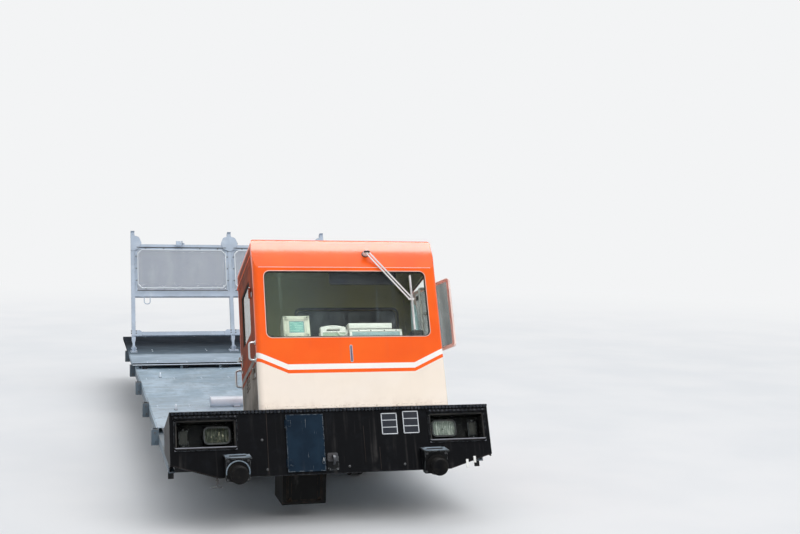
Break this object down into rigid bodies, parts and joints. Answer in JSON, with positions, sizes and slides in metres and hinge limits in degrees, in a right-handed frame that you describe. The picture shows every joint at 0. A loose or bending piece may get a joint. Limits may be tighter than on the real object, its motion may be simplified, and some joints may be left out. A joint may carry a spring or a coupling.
{
  "type": "funicular goods car with driver's cab",
  "caption": "Flat funicular goods car with an offset driver's cab, plumb headstock, load gate, stake pockets and grooved and drum wheelsets.",
  "frame": {"origin": "on the floor under the middle of the car's box, level with the bottom of the wheel flanges, 25 mm below the rails' top", "axes": "+X to the right seen from the downhill end, +Y uphill along the deck, +Z square to the rails"},
  "size_m": [2.744, 8.626, 2.2745],
  "materials": {
    "headstock_paint": "worn black gloss paint over tread lip",
    "cab_paint": "glossy orange over cream, white stripe",
    "deck_paint": "worn pale blue-grey paint, scuffed",
    "raised_deck_paint": "worn pale grey nosing, darker tread behind",
    "frame_paint": "dusty black underframe paint",
    "sill_paint": "weathered blue-grey paint",
    "gate_paint": "pale grey paint",
    "tube_steel": "drawn steel tube",
    "eye_steel": "dull steel",
    "cover_paint": "scratched slate-blue paint",
    "hook_iron": "oily forged iron",
    "buffer_rubber": "dusty black rubber",
    "bracket_paint": "black paint, pale worn top",
    "lamp_shell": "dark lamp housing with bright dish",
    "lamp_glass": "clear",
    "window_glass": "clear, faint green edge",
    "pane_plastic": "clear plastic, hazed",
    "wheel_steel": "rusty web, bright tread",
    "axle_steel": "greasy turned steel",
    "box_iron": "painted casting",
    "brake_iron": "dusty castings, bright pads",
    "spring_rubber": "bonded rubber with steel plates",
    "case_paint": "dark grey paint",
    "desk_top": "pale green-cream",
    "monitor_shell": "cream shell with teal screen",
    "console_shell": "pale grey-green",
    "phone_plastic": "white",
    "visor_plastic": "dark blue",
    "seat_steel": "dark grey paint",
    "seat_cover": "black vinyl",
    "wiper_metal": "pale grey arms, black blade",
    "grip_metal": "satin bar",
    "handle_chrome": "bright"
  },
  "bodies": {
    "car": {"front_headstock": "headstock_paint", "headlamps": "lamp_shell", "headlamp_glasses": "lamp_glass", "centre_cover": "cover_paint", "towing_hook": "hook_iron", "solebars": "frame_paint", "side_sills": "sill_paint", "cross_bearers": "frame_paint", "rear_headstock": "frame_paint", "deck": "deck_paint", "cab_platform": "headstock_paint", "raised_deck": "raised_deck_paint", "stake_pockets_left": "sill_paint", "stake_pockets_right": "sill_paint", "deck_tube": "tube_steel", "lashing_eyes": "eye_steel", "buffer_brackets": "bracket_paint", "buffers": "buffer_rubber", "track_case": "case_paint", "axle_boxes": "box_iron", "springs": "spring_rubber", "axle_guards": "frame_paint", "rail_brakes": "brake_iron", "cab_front": "cab_paint", "cab_rear": "cab_paint", "cab_left_side": "cab_paint", "cab_right_side": "cab_paint", "cab_roof": "cab_paint", "windscreen": "window_glass", "rear_window": "window_glass", "grab_handles": "grip_metal", "wiper": "wiper_metal", "control_desk": "desk_top", "desk_monitor": "monitor_shell", "telephone": "phone_plastic", "desk_console": "console_shell", "sun_visor": "visor_plastic", "seat_base": "seat_steel", "seat_cushion": "seat_cover", "gate_frame": "gate_paint", "gate_panes": "pane_plastic"},
    "front_wheelset": {"front_axle": "axle_steel", "front_grooved_wheel": "wheel_steel", "front_drum_wheel": "wheel_steel"},
    "rear_wheelset": {"rear_axle": "axle_steel", "rear_grooved_wheel": "wheel_steel", "rear_drum_wheel": "wheel_steel"},
    "cab_door": {"cab_door": "cab_paint", "door_window": "window_glass", "door_handle": "handle_chrome"},
    "side_window": {"side_window_frame": "cab_paint", "side_window_pane": "window_glass"}
  },
  "joints": [
    {"name": "front_wheels_turn", "type": "hinge", "parent": "car", "child": "front_wheelset", "pos_m": [0, -2.277, 0.255], "axis": [1, 0, 0], "continuous": true},
    {"name": "rear_wheels_turn", "type": "hinge", "parent": "car", "child": "rear_wheelset", "pos_m": [0, 2.523, 0.255], "axis": [1, 0, 0], "continuous": true},
    {"name": "cab_door_opens", "type": "hinge", "parent": "car", "child": "cab_door", "pos_m": [-0.614, -3.77557, 0.86747], "axis": [0, 0.3971, 0.9178], "range_deg": [0, 95]},
    {"name": "side_window_opens", "type": "hinge", "parent": "car", "child": "side_window", "pos_m": [1.004, -3.2497, 0.6399], "axis": [0, 0.3971, 0.9178], "range_deg": [-28, 62]}
  ]
}
